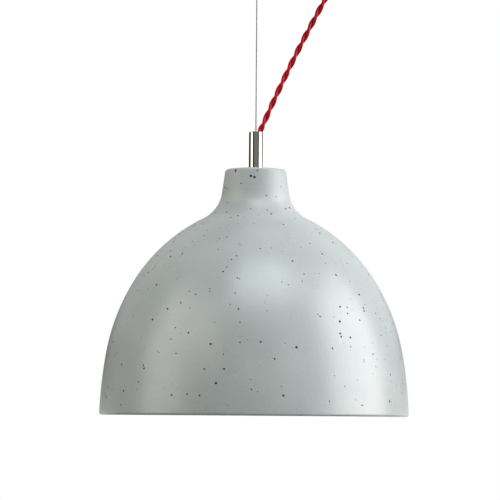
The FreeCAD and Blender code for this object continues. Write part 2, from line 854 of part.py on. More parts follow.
def bulb_glass():
    wall = d.glass_wall
    top = -d.glass_top_depth
    inside_cap = d.bulb_cap_radius - d.thread_depth - d.bulb_cap_wall - 0.1
    shoulder = -d.bulb_cap_length
    join_x, join_z = d.globe_join_radius, -d.globe_join_depth
    share = (d.globe_radius - wall) / d.globe_radius
    inner_join_z = (join_z + globe_depth) * share - globe_depth
    keep(turned("envelope", [
        (inside_cap, top),
        (inside_cap - wall, top),
        (inside_cap - wall, shoulder),
        (d.bulb_neck_radius - wall, -d.bulb_neck_depth, d.bulb_neck_curve + wall),
        (join_x * share, inner_join_z, wall - d.globe_radius),
        (0, wall - d.bulb_length),
        (0, -d.bulb_length, d.globe_radius),
        (join_x, join_z, -d.bulb_neck_curve),
        (d.bulb_neck_radius, -d.bulb_neck_depth),
        (d.bulb_neck_radius, shoulder - 0.5),
        (inside_cap, shoulder - 0.2),
    ], z=contact_tip), "bulb_glass")


def bulb_cap():
    """The screw cap: a thin shell with rounded thread rings pressed into it."""
    wall = d.bulb_cap_wall
    top = -d.cap_top_depth
    crest = d.bulb_cap_radius
    root = crest - d.thread_depth
    shell = [(root - wall, -d.bulb_cap_length), (crest, -d.bulb_cap_length)]
    for ring in range(5):
        middle = -d.bulb_cap_length + 2.6 + d.thread_pitch * ring
        shell += [(root, middle - d.thread_pitch / 4), (root, middle + d.thread_pitch / 4 - 0.9)]
        shell += [(crest, middle + d.thread_pitch / 4), (crest, middle + d.thread_pitch / 4 + 0.7)]
    shell += [(root, top - 1), (d.tip_radius + 3, top), (d.tip_radius + 3, top - wall)]
    shell += [(root - wall, top - 1 - wall)]
    keep(turned("cap_shell", shell, z=contact_tip), "bulb_cap")
    keep(turned("cap_glass", [
        (0, top - wall),
        (d.tip_radius + 2.8, top - wall),
        (d.tip_radius + 2.8, top + 0.2),
        (d.tip_radius, -d.tip_depth),
        (0, -d.tip_depth),
    ], z=contact_tip), "bulb_insulator")
    keep(turned("cap_contact", [
        (0, -d.tip_depth),
        (d.tip_radius - 0.3, -d.tip_depth),
        (d.tip_radius - 1.5, -0.1),
        (0, -0.1),
    ], z=contact_tip), "bulb_contact")


def bulb_inside():
    rim = d.bulb_cap_radius - d.thread_depth - d.bulb_cap_wall - 0.1 - d.glass_wall
    keep(turned("stem", [
        (0, -d.stem_depth),
        (2.2, -d.stem_depth),
        (2.6, -d.glass_top_depth - 10, as_size(9)),
        (rim - 0.05, -d.glass_top_depth - 1.5),
        (rim - 0.05, -d.glass_top_depth),
        (0, -d.glass_top_depth),
    ], z=contact_tip), "bulb_stem")
    filament = solid("Torus", "filament_arc", Radius1=d.filament_radius, Radius2=0.5)
    filament.Angle3 = 180
    keep(place(filament, z=contact_tip - d.filament_depth), "bulb_filament")
    leads = []
    for side in (-1, 1):
        foot = FreeCAD.Vector(1.4 * side, 0, (contact_tip - d.stem_depth).value - 0.3)
        tip = FreeCAD.Vector(d.filament_radius.value * side, 0, (contact_tip - d.filament_depth).value + 0.6)
        leads.append(Part.makeCylinder(0.3, (tip - foot).Length, foot, tip - foot))
    node = document.addObject("Part::Feature", "lead_wires")
    node.Shape = Part.makeCompound(leads)
    node.Placement = FreeCAD.Placement()
    keep(node, "bulb_lead_wires")


# ---- build and write -------------------------------------------------------------------------


def build():
    fill_sheet()
    ceiling_bracket()
    bracket_nut()
    canopy()
    canopy_ring_nut()
    eye_bolt()
    gland()
    terminal_block()
    block_screws()
    cord("flex_tails", [TAIL_ROUTE, mirrored_in_y(TAIL_ROUTE)], d.core_radius.value)
    suspension_link()
    wire_terminal()
    suspension_wire()
    wire_stop()
    pendant_flex()
    shade()
    steel_tube()
    shade_clamp()
    wire_anchor_disc()
    lampholder()
    holder_inside()
    cord("inner_cores", [CORE_ROUTE, mirrored_in_y(CORE_ROUTE)], d.core_radius.value)
    bulb_glass()
    bulb_cap()
    bulb_inside()
    document.recompute()


def check():
    faults = []
    for thing in document.Objects:
        if "Invalid" in thing.State or "Error" in thing.State:
            faults.append(f"{thing.Label}: {thing.State}")
    for thing in subparts:
        if thing.Shape.isNull() or not thing.Shape.isValid() or thing.Shape.Volume <= 0:
            faults.append(f"{thing.Label}: bad shape")
    labels = [thing.Label for thing in subparts]
    if len(set(labels)) != len(labels):
        faults.append("two sub-parts share a label")
    if faults:
        raise RuntimeError("; ".join(faults))


def write():
    os.makedirs("parts", exist_ok=True)
    for thing in subparts:
        thing.Shape.exportStep(f"parts/{thing.Label}.step")
    print(f"{len(subparts)} sub-parts written")


build()
check()
write()
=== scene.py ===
import math
import random

import bmesh
import bpy
from mathutils import Matrix, Vector


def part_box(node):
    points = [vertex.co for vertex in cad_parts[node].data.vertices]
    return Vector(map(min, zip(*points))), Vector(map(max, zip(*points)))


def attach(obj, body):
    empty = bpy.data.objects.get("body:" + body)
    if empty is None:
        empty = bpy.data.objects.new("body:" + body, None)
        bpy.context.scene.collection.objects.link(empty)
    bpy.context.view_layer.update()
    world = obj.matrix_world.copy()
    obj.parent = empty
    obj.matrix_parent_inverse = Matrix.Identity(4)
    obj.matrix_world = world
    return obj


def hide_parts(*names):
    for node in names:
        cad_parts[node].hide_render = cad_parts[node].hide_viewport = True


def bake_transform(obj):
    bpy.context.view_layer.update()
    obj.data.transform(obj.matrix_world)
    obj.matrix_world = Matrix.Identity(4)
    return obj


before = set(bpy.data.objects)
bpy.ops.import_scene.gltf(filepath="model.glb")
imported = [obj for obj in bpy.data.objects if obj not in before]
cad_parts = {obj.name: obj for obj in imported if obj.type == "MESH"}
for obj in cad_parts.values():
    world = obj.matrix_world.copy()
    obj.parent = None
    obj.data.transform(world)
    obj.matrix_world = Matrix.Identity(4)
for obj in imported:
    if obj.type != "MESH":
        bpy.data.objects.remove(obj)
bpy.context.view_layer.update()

# A pendant ceiling light: a cast concrete dome on a polished tube, hung on a steel wire, with a red
# braided flex twisted from two cores. Metres; the origin is on the ceiling, +X runs to the gland.

MM = 0.001
SHADE_LOW, SHADE_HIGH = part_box("shade")
RIM_HEIGHT = SHADE_LOW.z
TUBE_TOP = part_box("steel_tube")[1].z
WIRE_LOW, WIRE_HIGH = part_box("suspension_wire")


# ---- camera ----------------------------------------------------------------------------------

CAMERA_DISTANCE = 2.05  # the camera is level with the rim
SENSOR = 36.0
LENS = 185.5
PITCH = 3.68  # degrees, up
PAN = 0.113  # degrees, to the left
ROLL = 0.42  # degrees


def make_camera():
    data = bpy.data.cameras.new("camera")
    data.sensor_width = SENSOR
    data.lens = LENS
    camera = bpy.data.objects.new("camera", data)
    bpy.context.scene.collection.objects.link(camera)
    camera.location = (0, -CAMERA_DISTANCE, RIM_HEIGHT)
    aim = Matrix.Rotation(math.radians(PAN), 4, "Z") @ Matrix.Rotation(math.radians(90 + PITCH), 4, "X")
    aim = aim @ Matrix.Rotation(math.radians(ROLL), 4, "Z")
    camera.rotation_euler = aim.to_euler()
    bpy.context.scene.camera = camera


make_camera()


# ---- mesh helpers ----------------------------------------------------------------------------


def mesh_object(name, bm, smooth=True):
    """Turn a bmesh into a piece at the origin."""
    mesh = bpy.data.meshes.new(name)
    bm.to_mesh(mesh)
    bm.free()
    for face in mesh.polygons:
        face.use_smooth = smooth
    piece = bpy.data.objects.new(name, mesh)
    bpy.context.scene.collection.objects.link(piece)
    return piece


ROUTE_SAMPLES = 24  # between two of a route's points


def smooth_line(points):
    """Points along the NURBS line that a cord's route controls."""
    curve = bpy.data.curves.new("route", "CURVE")
    curve.dimensions = "3D"
    curve.resolution_u = ROUTE_SAMPLES
    spline = curve.splines.new("NURBS")
    spline.points.add(len(points) - 1)
    for control, point in zip(spline.points, points):
        control.co = (*point, 1)
    spline.order_u = 3
    spline.use_endpoint_u = True
    holder = bpy.data.objects.new("route", curve)
    bpy.context.scene.collection.objects.link(holder)
    mesh = bpy.data.meshes.new_from_object(holder)
    line = [vertex.co.copy() for vertex in mesh.vertices]
    bpy.data.meshes.remove(mesh)
    bpy.data.objects.remove(holder)
    bpy.data.curves.remove(curve)
    return line


def evenly(line, step):
    """The same line with points a step apart."""
    result = [line[0].copy()]
    left = step
    for start, end in zip(line, line[1:]):
        run = (end - start).length
        done = 0.0
        while run - done >= left:
            done += left
            result.append(start.lerp(end, done / run))
            left = step
        left -= run - done
    result.append(line[-1].copy())
    return result


def frames_along(line):
    """(point, side, up, distance) at each point, turned as little as possible on the way."""
    tangents = [(b - a).normalized() for a, b in zip(line, line[1:])]
    tangents.append(tangents[-1])
    side = Vector((0, 1, 0))
    distance = 0.0
    frames = []
    for index, (point, tangent) in enumerate(zip(line, tangents)):
        if index:
            distance += (point - line[index - 1]).length
        side = (side - tangent * side.dot(tangent)).normalized()
        frames.append((point, side, tangent.cross(side), distance))
    return frames


def add_tube(bm, line, radius, corners, uv_layer, across, along):
    """A closed round tube along a line, with a UV of turns across and turns along."""
    rings = []
    previous = None
    for point, side, up, distance in frames_along(line):
        if previous is None:
            made = bmesh.ops.create_circle(bm, segments=corners, radius=radius)
            ring = made["verts"]
        else:
            edges = [bm.edges.get((a, b)) for a, b in zip(previous, previous[1:] + previous[:1])]
            made = bmesh.ops.extrude_edge_only(bm, edges=edges)
            fresh = [item for item in made["geom"] if isinstance(item, bmesh.types.BMVert)]
            partner = {}
            for vertex in fresh:
                for edge in vertex.link_edges:
                    other = edge.other_vert(vertex)
                    if other in ring_index:
                        partner[ring_index[other]] = vertex
            ring = [partner[i] for i in range(corners)]
        for index, vertex in enumerate(ring):
            angle = 2 * math.pi * index / corners
            vertex.co = point + (side * math.cos(angle) + up * math.sin(angle)) * radius
        ring_index = {vertex: index for index, vertex in enumerate(ring)}
        rings.append((distance, ring_index))
        previous = ring
    for end in (rings[0], rings[-1]):
        bmesh.ops.contextual_create(bm, geom=list(end[1]))
    for (near, near_ring), (far, far_ring) in zip(rings, rings[1:]):
        for vertex in near_ring:
            for face in vertex.link_faces:
                loops = list(face.loops)
                if not all(loop.vert in near_ring or loop.vert in far_ring for loop in loops):
                    continue
                places = [near_ring.get(loop.vert, far_ring.get(loop.vert)) for loop in loops]
                wraps = max(places) - min(places) > corners / 2
                for loop, place in zip(loops, places):
                    turn = place + corners if wraps and place < corners / 2 else place
                    reached = near if loop.vert in near_ring else far
                    loop[uv_layer].uv = (turn / corners * across, reached * along)


def twisted_strands(name, line, count, offset, radius, turn_at, corners, across, along):
    """Strands that wind round a line; turn_at gives the turns made at a distance along it."""
    bm = bmesh.new()
    uv_layer = bm.loops.layers.uv.new("UVMap")
    frames = frames_along(line)
    for strand in range(count):
        points = []
        for point, side, up, distance in frames:
            angle = 2 * math.pi * (strand / count + turn_at(distance))
            points.append(point + (side * math.cos(angle) + up * math.sin(angle)) * offset)
        add_tube(bm, points, radius, corners, uv_layer, across, along)
    bmesh.ops.recalc_face_normals(bm, faces=bm.faces)
    return mesh_object(name, bm)


# ---- flex: two braided cores twisted together ------------------------------------------------

CORES = 2
CORE_RADIUS = 1.25 * MM
CORE_OFFSET = 1.15 * MM
FLEX_PITCH = 24.0 * MM
FLEX_PHASE = 0.191  # turns
TIGHT_LENGTH = 9 * MM  # over which the twist tightens into the tube
TIGHT_TURNS = 0.125
TIGHT_BEFORE = 0.9  # the share of it that lies outside the tube
BRAID_PICKS = 16  # bundles of thread round one core
BRAID_PITCH = 2.4 * MM
CORE_CORNERS = 20
FLEX_STEP = 0.5 * MM

# Middle line of the flex from the gland, as (X, height above the tube's mouth), mm.
FLEX_ROUTE = [
    (65.0, 142.3),
    (65.0, 126.5),
    (52.9, 104.0),
    (39.2, 78.0),
    (25.9, 51.0),
    (13.9, 25.0),
    (6.4, 7.5),
    (3.9, 2.2),
    (2.6, -1.2),
    (2.0, -7.0),
    (1.9, -12.4),
]


def make_flex():
    points = [Vector((x * MM, 0, TUBE_TOP + z * MM)) for x, z in FLEX_ROUTE]
    line = evenly(smooth_line(points), FLEX_STEP)
    length = sum((b - a).length for a, b in zip(line, line[1:]))
    mouth = length - sum((b - a).length for a, b in zip(line, line[1:]) if a.z < TUBE_TOP)

    def turn_at(distance):
        """Left-handed twist that tightens a little as the pair goes into the tube."""
        share = min(1, max(0, (distance - mouth) / TIGHT_LENGTH + TIGHT_BEFORE))
        return FLEX_PHASE - distance / FLEX_PITCH - TIGHT_TURNS * share * share * (3 - 2 * share)

    flex = twisted_strands("pendant_flex_braided", line, CORES, CORE_OFFSET, CORE_RADIUS, turn_at,
                           CORE_CORNERS, BRAID_PICKS, 1 / BRAID_PITCH)
    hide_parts("pendant_flex")
    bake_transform(flex)
    return flex


# ---- suspension wire: six strands laid up ----------------------------------------------------

STRAND_RADIUS = 0.172 * MM
STRAND_OFFSET = 0.33 * MM
ROPE_PITCH = 7.0 * MM
STRANDS = 6
STRAND_CORNERS = 8
WIRE_STEP = 0.6 * MM


def make_wire():
    top, bottom = Vector((0, 0, WIRE_HIGH.z)), Vector((0, 0, WIRE_LOW.z))
    middle = top.lerp(bottom, 0.5)
    line = evenly(smooth_line([top, middle, bottom]), WIRE_STEP)
    wire = twisted_strands("suspension_wire_stranded", line, STRANDS, STRAND_OFFSET, STRAND_RADIUS,
                           lambda distance: distance / ROPE_PITCH, STRAND_CORNERS, 1, 1 / ROPE_PITCH)
    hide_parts("suspension_wire")
    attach(wire, "wire")
    return wire


flex = make_flex()
wire = make_wire()


# ---- shade: the concrete casting with its air pores ------------------------------------------

AROUND = 288
ROUND_STEPS = 7  # least steps in an arc, so that it shades smoothly
SHARP_ANGLE = 24  # degrees, under the slope at a pore's edge
WALL = 8.0
TUBE_HOLE = 5.2
OUTER_SPACING = 2.2  # between the outline's points
INNER_SPACING = 4.0
MERGE_DISTANCE = 0.01 * MM

# Outer outline from the rim up: (radius, height, radius of the arc that leads on), mm above the rim.
OUTER = [
    (122.75, 1.8, 354.5),
    (117.8, 48.9, 163.5),
    (95.5, 107.6, 133.5),
    (41.8, 156.5, -27.7),
    (26.7, 177.6, None),
    (24.5, 193.8, 2.4),
    (22.0, 196.0, None),
    (5.6, 196.0, None),
    (TUBE_HOLE, 195.6, None),
    (TUBE_HOLE, 188.0, None),
]

INNER_START = 0.9  # above the rim
CROWN_CORNER = 1.4  # how far the crown's flat underside starts inside the neck's wall

# The rounded rim, from the inner wall out to the start of the outer outline.
RIM = [
    (114.9, 0.35, 0.9),
    (115.6, 0.0, None),
    (121.2, 0.0, 1.7),
    (122.75, 1.8, None),
]


def arc_centre(start, end, radius):
    """Centre of the arc from start to end; a positive radius has it on the left."""
    chord = end - start
    left = Vector((-chord.y, chord.x)).normalized()
    height = math.sqrt(radius * radius - chord.length_squared / 4)
    return (start + end) / 2 + left * math.copysign(height, radius)


def arc_points(start, end, radius, spacing):
    """Points from start up to, not including, end."""
    steps = max(1, round((end - start).length / spacing))
    if radius is None:
        return [start.lerp(end, i / steps) for i in range(steps)]
    steps = max(ROUND_STEPS, steps)
    centre = arc_centre(start, end, radius)
    turn = (start - centre).angle_signed(end - centre)
    return [centre + Matrix.Rotation(-turn * i / steps, 2) @ (start - centre) for i in range(steps)]


def outline_points(corners, spacing):
    points = []
    ends = [Vector(corner[:2]) for corner in corners]
    for (start, end), corner in zip(zip(ends, ends[1:]), corners):
        points += arc_points(start, end, corner[2], spacing)
    return points + [ends[-1]]


def inner_outline():
    """The dome's outline moved in by the wall; the crown's underside is flat round the tube."""
    ends = [Vector(corner[:2]) for corner in OUTER[:6]]
    moved = []
    for index, (start, end) in enumerate(zip(ends, ends[1:])):
        radius = OUTER[index][2]
        if radius is None:
            normal = (end - start).orthogonal().normalized()
            inward = normal if normal.x < 0 else -normal
            moved.append((start + inward * WALL, None))
            continue
        centre = arc_centre(start, end, radius)
        inward = (centre - start).normalized() * math.copysign(1, radius)
        moved.append((start + inward * WALL, radius - WALL))
    crown = OUTER[6][1] - WALL
    corners = [(point.x, point.y, radius) for point, radius in moved]
    corners[0] = (corners[0][0], INNER_START, corners[0][2])
    corners.append((corners[-1][0] - CROWN_CORNER, crown, None))
    corners.append((TUBE_HOLE, crown, None))
    return corners


def spun(name, outline, around):
    """A piece turned about Z from a closed outline of (radius, height above the rim) in mm."""
    bm = bmesh.new()
    verts = [bm.verts.new((p.x * MM, 0, RIM_HEIGHT + p.y * MM)) for p in outline]
    edges = [bm.edges.new(pair) for pair in zip(verts, verts[1:] + verts[:1])]
    bmesh.ops.spin(bm, geom=verts + edges, cent=(0, 0, 0), axis=(0, 0, 1), angle=2 * math.pi,
                   steps=around, use_merge=True)
    bmesh.ops.remove_doubles(bm, verts=bm.verts, dist=MERGE_DISTANCE)
    bmesh.ops.recalc_face_normals(bm, faces=bm.faces)
    return mesh_object(name, bm)


def surface_point(outline, share, azimuth):
    """A point at a share of the outline's length and an azimuth, its outward normal and radius."""
    lengths = [(b - a).length for a, b in zip(outline, outline[1:])]
    rest = share * sum(lengths)
    index = 0
    while rest > lengths[index] and index < len(lengths) - 1:
        rest -= lengths[index]
        index += 1
    start, end = outline[index], outline[index + 1]
    flat = start.lerp(end, rest / lengths[index])
    along = (end - start).normalized()
    normal = Vector((along.y, -along.x))
    spin = Matrix.Rotation(azimuth, 3, "Z")
    point = spin @ Vector((flat.x, 0, flat.y)) * MM + Vector((0, 0, RIM_HEIGHT))
    return point, spin @ Vector((normal.x, 0, normal.y)), flat.x


OUTER_PORES = 520
INNER_PORES = 130
PORE_GAP = 4.5 * MM
PORE_SIZES = (0.36, 0.42, 0.46, 0.5, 0.54, 0.6, 0.66, 0.75, 0.9, 1.05)  # radii, mm
PORE_DEPTH = (0.25, 0.55)  # of its middle below the surface, in radii
PORE_STRETCH = (0.86, 1.16)
PAIR_SHARE = 0.12
PAIR_SPACING = (2.4, 4.0)  # radii
PORE_FREE_EDGE = 0.02  # share of the height above the rim that stays whole
RIM_SHARE = 0.55  # pores near the rim, against those above FULL_FROM
FULL_FROM = 0.625  # share of the height
OUTER_SEED = 7
INNER_SEED = 11
OUTER_WIDEST = 122.8  # radius of the dome, mm
INNER_WIDEST = 115.0
OUTER_NEAREST = 23  # nearest to the axis that pores come, mm
INNER_NEAREST = 20
INNER_LOWEST = 3  # mm above the rim


def pore_cutters(name, outline, count, seed, widest):
    """Small irregular bubbles that just break the surface, kept apart from each other."""
    draw = random.Random(seed)
    bm = bmesh.new()
    placed = []
    while len(placed) < count:
        share, azimuth = draw.random(), draw.uniform(0, 2 * math.pi)
        point, normal, radius = surface_point(outline, share, azimuth)
        height = (point.z - RIM_HEIGHT) / (SHADE_HIGH.z - RIM_HEIGHT)
        keep = radius / widest * (RIM_SHARE + (1 - RIM_SHARE) * min(1, height / FULL_FROM))
        crowded = any((point - other).length < PORE_GAP for other in placed)
        if draw.random() > keep or height < PORE_FREE_EDGE or crowded:
            continue
        size = draw.choice(PORE_SIZES) * MM
        bubbles = 2 if draw.random() < PAIR_SHARE else 1
        across = normal.orthogonal().normalized()
        for index in range(bubbles):
            turned = Matrix.Rotation(draw.uniform(0, 2 * math.pi), 3, normal) @ across
            sideways = turned * size * draw.uniform(*PAIR_SPACING) * index
            depth = size * draw.uniform(*PORE_DEPTH)
            stretch = Matrix.Diagonal([draw.uniform(*PORE_STRETCH) for _ in range(3)]).to_4x4()
            place = Matrix.Translation(point - normal * depth + sideways)
            bmesh.ops.create_icosphere(bm, subdivisions=2, radius=size, matrix=place @ stretch)
        placed.append(point)
    return mesh_object(name, bm)


def make_shade():
    outer = outline_points(OUTER, OUTER_SPACING)
    inner = outline_points(inner_outline(), INNER_SPACING)
    inner.reverse()
    rim = outline_points(RIM, OUTER_SPACING)[:-1]
    body = spun("shade_cast", outer + inner[1:] + rim, AROUND)
    outside = [point for point in outer if point.x > OUTER_NEAREST]
    inside = [point for point in inner if point.y > INNER_LOWEST and point.x > INNER_NEAREST]
    cutters = [pore_cutters("outer_pores", outside, OUTER_PORES, OUTER_SEED, OUTER_WIDEST),
               pore_cutters("inner_pores", inside, INNER_PORES, INNER_SEED, INNER_WIDEST)]
    # The pores' walls take the pore material, a dark grey painted shade inside each pit.
    for cutter in cutters:
        cutter.data.materials.append(PORE_SHADE_PAINT)
    body.data.materials.append(CONCRETE)
    for cutter in cutters:
        carve = body.modifiers.new("carve", "BOOLEAN")
        carve.operation = "DIFFERENCE"
        carve.solver = "MANIFOLD"
        carve.object = cutter
        carve.material_mode = "TRANSFER"
    settle(body)
    for cutter in cutters:
        mesh = cutter.data
        bpy.data.objects.remove(cutter)
        bpy.data.meshes.remove(mesh)
    body.data.set_sharp_from_angle(angle=math.radians(SHARP_ANGLE))
    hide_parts("shade")
    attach(body, "lamp")


def settle(piece):
    """Apply a piece's modifiers to its mesh."""
    graph = bpy.context.evaluated_depsgraph_get()
    mesh = bpy.data.meshes.new_from_object(piece.evaluated_get(graph))
    old = piece.data
    piece.modifiers.clear()
    piece.data = mesh
    mesh.name = piece.name
    bpy.data.meshes.remove(old)


# ---- materials -------------------------------------------------------------------------------


def linear(code):
    """A linear RGBA colour from an sRGB hex code."""
    parts = [int(code[i:i + 2], 16) / 255 for i in (1, 3, 5)]
    return [c / 12.92 if c <= 0.04045 else ((c + 0.055) / 1.055) ** 2.4 for c in parts] + [1.0]


def add(tree, kind, inputs=None, stops=(), **settings):
    """Add a node; an input is a value or another node's output, a stop is a ramp's (place, colour)."""
    node = tree.nodes.new("ShaderNode" + kind)
    for name, value in settings.items():
        setattr(node, name, value)
    for name, value in (inputs or {}).items():
        if isinstance(value, bpy.types.NodeSocket):
            tree.links.new(value, node.inputs[name])
        else:
            node.inputs[name].default_value = value
    for index, (place, code) in enumerate(stops):
        node.color_ramp.elements[index].position = place
        node.color_ramp.elements[index].color = linear(code)
    return node


def start_material(name, **constants):
    """A material with its shader's constants set on its own sockets."""
    material = bpy.data.materials.new(name)
    material.use_nodes = True
    tree = material.node_tree
    shader = tree.nodes["Principled BSDF"]
    for socket, value in constants.items():
        shader.inputs[socket.replace("_", " ")].default_value = value
    return material, tree, shader


# Noise is mostly between these two values, so ramps and ranges run from one to the other.
LEAST = 0.3
MOST = 0.7
NECK_FOOT = 162 * MM  # the sealer goes dull from here, above the rim, up to the neck's side
NECK_SIDE = 182 * MM


def sealed_concrete():
    """Fine cast concrete, satin from its sealer and duller up the neck: soft clouds and sand."""
    material, tree, shader = start_material("sealed_cast_concrete", Specular_IOR_Level=0.6)
    point = add(tree, "TexCoord").outputs["Object"]
    cloud = add(tree, "TexNoise", {"Vector": point, "Scale": 1 / (55 * MM), "Detail": 4.0})
    tone = add(tree, "ValToRGB", {"Fac": cloud.outputs["Fac"]}, [(LEAST, "#b3b9b7"), (MOST, "#bfc4c1")])
    sand = add(tree, "TexNoise", {"Vector": point, "Scale": 1 / (0.9 * MM), "Detail": 2.0})
    speck = add(tree, "ValToRGB", {"Fac": sand.outputs["Fac"]}, [(LEAST, "#f2f3f2"), (MOST, "#ffffff")])
    colour = add(tree, "Mix", {"Factor": 1.0, "A": tone.outputs["Color"], "B": speck.outputs["Color"]},
                 data_type="RGBA", blend_type="MULTIPLY")
    tree.links.new(colour.outputs["Result"], shader.inputs["Base Color"])
    height = add(tree, "SeparateXYZ", {"Vector": point}).outputs["Z"]
    dull = add(tree, "MapRange", {"Value": height, "From Min": RIM_HEIGHT + NECK_FOOT,
                                  "From Max": RIM_HEIGHT + NECK_SIDE, "To Min": 0.0, "To Max": 0.26})
    patch = add(tree, "TexNoise", {"Vector": point, "Scale": 1 / (14 * MM), "Detail": 3.0})
    satin = add(tree, "MapRange", {"Value": patch.outputs["Fac"], "From Min": LEAST, "From Max": MOST,
                                   "To Min": 0.27, "To Max": 0.33})
    rough = add(tree, "Math", {0: satin.outputs["Result"], 1: dull.outputs["Result"]}, operation="ADD")
    tree.links.new(rough.outputs["Value"], shader.inputs["Roughness"])
    fine = add(tree, "TexNoise", {"Vector": point, "Scale": 1 / (2.2 * MM), "Detail": 4.0,
                                  "Roughness": 0.6})
    bump = add(tree, "Bump", {"Height": fine.outputs["Fac"], "Distance": 0.03 * MM, "Strength": 1.0})
    tree.links.new(bump.outputs["Normal"], shader.inputs["Normal"])
    return material


def pore_painted_shade():
    """The unsealed wall of an air pore, rough and without gloss, coloured dark grey as painted shade
    inside the pit.
    """
    material, tree, shader = start_material("pore_wall_painted_shade", Roughness=0.85)
    point = add(tree, "TexCoord").outputs["Object"]
    sand = add(tree, "TexNoise", {"Vector": point, "Scale": 1 / (0.7 * MM), "Detail": 3.0})
    # painted shade: the pore's wall is dark grey for the shade that falls inside the pit
    colour = add(tree, "ValToRGB", {"Fac": sand.outputs["Fac"]}, [(LEAST, "#474a47"), (MOST, "#646864")])
    tree.links.new(colour.outputs["Color"], shader.inputs["Base Color"])
    return material


def polished_stainless():
    """Drawn stainless tube, mirror polished: near black and white stripes of the studio."""
    material, tree, shader = start_material("polished_stainless", Metallic=1.0)
    point = add(tree, "TexCoord").outputs["Object"]
    drawn = add(tree, "Mapping", {"Vector": point, "Scale": (1.0, 1.0, 0.02)})
    lines = add(tree, "TexNoise", {"Vector": drawn.outputs["Vector"], "Scale": 1 / (0.35 * MM),
                                   "Detail": 3.0}).outputs["Fac"]
    colour = add(tree, "ValToRGB", {"Fac": lines}, [(LEAST, "#d3d1cb"), (MOST, "#dcdad5")])
    tree.links.new(colour.outputs["Color"], shader.inputs["Base Color"])
    rough = add(tree, "MapRange", {"Value": lines, "From Min": LEAST, "From Max": MOST,
                                   "To Min": 0.06, "To Max": 0.12})
    tree.links.new(rough.outputs["Result"], shader.inputs["Roughness"])
    return material


def brushed_stainless():
    """Spun stainless sheet, brushed round its axis into fine rings."""
    material, tree, shader = start_material("brushed_stainless", Metallic=1.0)
    point = add(tree, "TexCoord").outputs["Object"]
    parts = add(tree, "SeparateXYZ", {"Vector": point}).outputs
    across = add(tree, "CombineXYZ", {"X": parts["X"], "Y": parts["Y"]}).outputs["Vector"]
    radius = add(tree, "VectorMath", {0: across}, operation="LENGTH").outputs["Value"]
    rings = add(tree, "CombineXYZ", {"X": radius, "Y": parts["Z"]}).outputs["Vector"]
    lines = add(tree, "TexNoise", {"Vector": rings, "Scale": 1 / (0.25 * MM), "Detail": 4.0,
                                   "Roughness": 0.7}).outputs["Fac"]
    colour = add(tree, "ValToRGB", {"Fac": lines}, [(LEAST, "#bdbcb8"), (MOST, "#cfcdc9")])
    tree.links.new(colour.outputs["Color"], shader.inputs["Base Color"])
    rough = add(tree, "MapRange", {"Value": lines, "From Min": LEAST, "From Max": MOST,
                                   "To Min": 0.26, "To Max": 0.38})
    tree.links.new(rough.outputs["Result"], shader.inputs["Roughness"])
    bump = add(tree, "Bump", {"Height": lines, "Distance": 0.01 * MM, "Strength": 1.0})
    tree.links.new(bump.outputs["Normal"], shader.inputs["Normal"])
    return material


def zinc_plate():
    """Bright zinc-plated steel: bluish, with soft spangle over a fine grit."""
    material, tree, shader = start_material("bright_zinc_plate", Metallic=1.0)
    point = add(tree, "TexCoord").outputs["Object"]
    spangle = add(tree, "TexNoise", {"Vector": point, "Scale": 1 / (4 * MM), "Detail": 2.0}).outputs["Fac"]
    colour = add(tree, "ValToRGB", {"Fac": spangle}, [(LEAST, "#aeb3b8"), (MOST, "#c8cbcb")])
    tree.links.new(colour.outputs["Color"], shader.inputs["Base Color"])
    rough = add(tree, "MapRange", {"Value": spangle, "From Min": LEAST, "From Max": MOST,
                                   "To Min": 0.25, "To Max": 0.4})
    tree.links.new(rough.outputs["Result"], shader.inputs["Roughness"])
    grit = add(tree, "TexNoise", {"Vector": point, "Scale": 1 / (0.5 * MM), "Detail": 3.0})
    bump = add(tree, "Bump", {"Height": grit.outputs["Fac"], "Distance": 0.006 * MM, "Strength": 1.0})
    tree.links.new(bump.outputs["Normal"], shader.inputs["Normal"])
    return material


def rope_steel():
    """Drawn steel wire, laid up and lightly oiled: an even, dull grey."""
    material, tree, shader = start_material("laid_steel_wire", Metallic=1.0)
    point = add(tree, "TexCoord").outputs["Object"]
    oil = add(tree, "TexNoise", {"Vector": point, "Scale": 1 / (0.4 * MM), "Detail": 3.0}).outputs["Fac"]
    colour = add(tree, "ValToRGB", {"Fac": oil}, [(LEAST, "#8f9192"), (MOST, "#b3b4b4")])
    tree.links.new(colour.outputs["Color"], shader.inputs["Base Color"])
    rough = add(tree, "MapRange", {"Value": oil, "From Min": LEAST, "From Max": MOST,
                                   "To Min": 0.5, "To Max": 0.62})
    tree.links.new(rough.outputs["Result"], shader.inputs["Roughness"])
    return material


